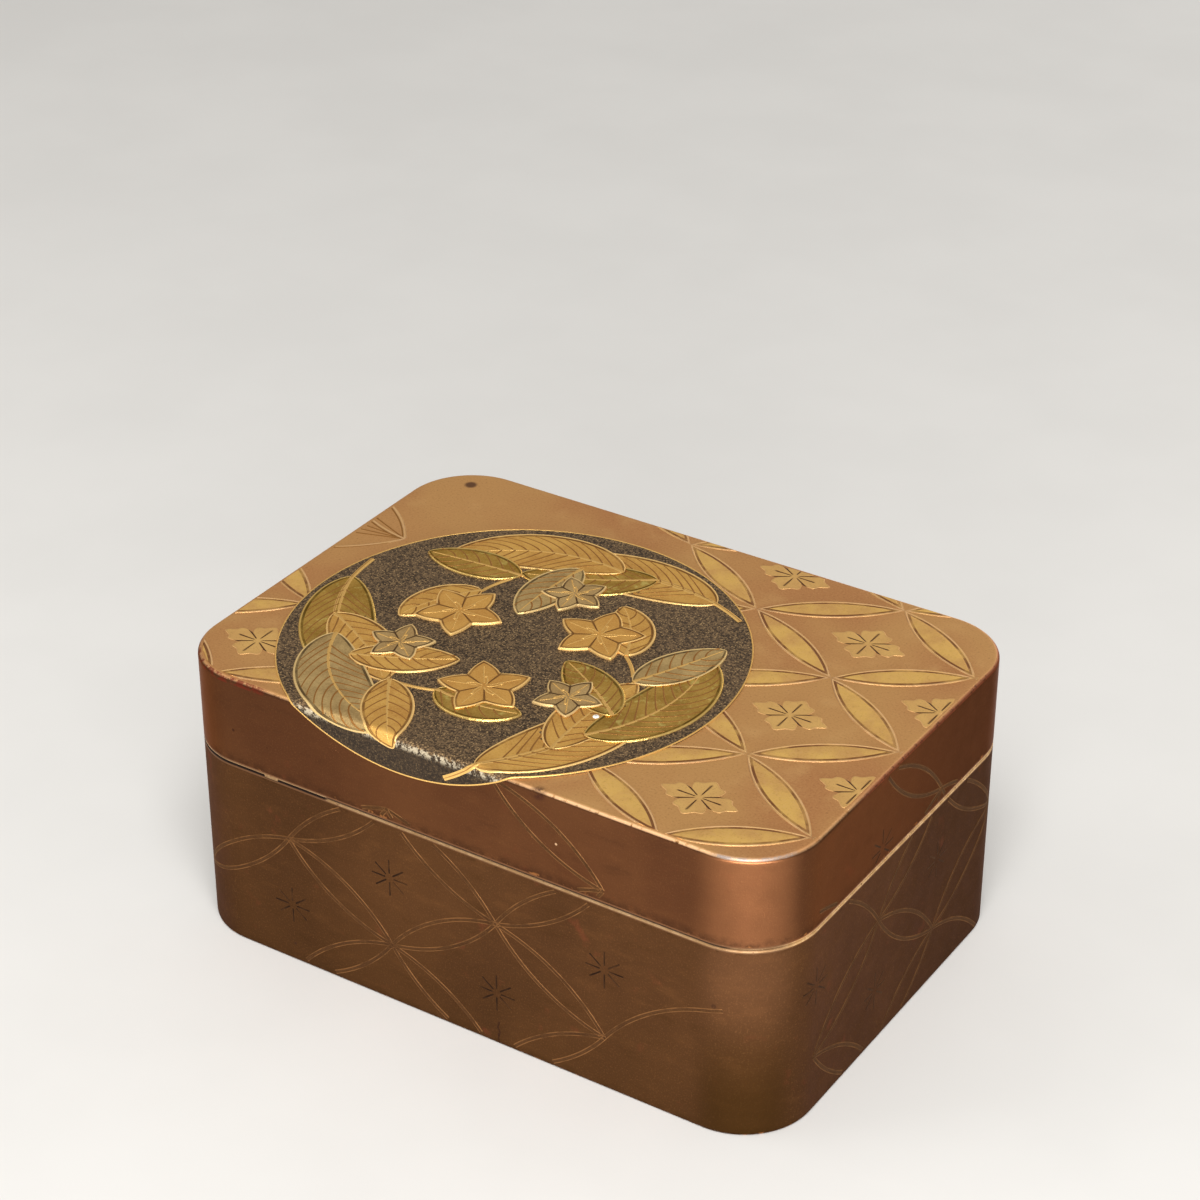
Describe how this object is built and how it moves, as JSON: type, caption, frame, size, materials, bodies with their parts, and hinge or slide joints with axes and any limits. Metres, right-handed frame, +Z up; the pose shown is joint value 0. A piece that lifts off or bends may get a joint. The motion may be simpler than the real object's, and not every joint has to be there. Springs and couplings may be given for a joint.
{
  "type": "lacquered document box",
  "caption": "Rounded-corner lacquered wooden box with a flush lift-off lid guided by an inner riser, metal rim bands and a raised gold roundel on the lid.",
  "frame": {"origin": "on the resting surface, under the middle of the box's outline", "axes": "+X along the long side, towards the right end; +Y from the front long side to the back; +Z up"},
  "size_m": [0.152, 0.107, 0.0695],
  "materials": {
    "gold_lacquer": "satin gold lacquer over wooden boards, worn brown at the edges",
    "inner_lacquer": "dark brown-black lacquer sprinkled with gold",
    "rim_metal": "thin metal band, rubbed bright",
    "dark_ground": "dark grey-black lacquer with fine gold speckle",
    "raised_gold": "raised lacquer in ochre gold, greenish gold foil and grey silver"
  },
  "bodies": {
    "base": {"base_bottom_board": "gold_lacquer", "base_front_board": "gold_lacquer", "base_back_board": "gold_lacquer", "base_left_board": "gold_lacquer", "base_right_board": "gold_lacquer", "base_corner_block_back_right": "gold_lacquer", "base_corner_block_back_left": "gold_lacquer", "base_corner_block_front_left": "gold_lacquer", "base_corner_block_front_right": "gold_lacquer", "base_rim_band": "rim_metal", "riser_front": "inner_lacquer", "riser_back": "inner_lacquer", "riser_left": "inner_lacquer", "riser_right": "inner_lacquer", "riser_corner_back_right": "inner_lacquer", "riser_corner_back_left": "inner_lacquer", "riser_corner_front_left": "inner_lacquer", "riser_corner_front_right": "inner_lacquer"},
    "lid": {"lid_top_board": "gold_lacquer", "lid_front_board": "gold_lacquer", "lid_back_board": "gold_lacquer", "lid_left_board": "gold_lacquer", "lid_right_board": "gold_lacquer", "lid_corner_block_back_right": "gold_lacquer", "lid_corner_block_back_left": "gold_lacquer", "lid_corner_block_front_left": "gold_lacquer", "lid_corner_block_front_right": "gold_lacquer", "lid_rim_band": "rim_metal", "roundel_ground": "dark_ground", "roundel_spray_1": "raised_gold", "roundel_spray_2": "raised_gold", "roundel_spray_3": "raised_gold"}
  },
  "joints": [
    {"name": "lid_lift", "type": "slide", "parent": "base", "child": "lid", "axis": [0, 0, 1], "range_m": [0, 0.06]}
  ]
}
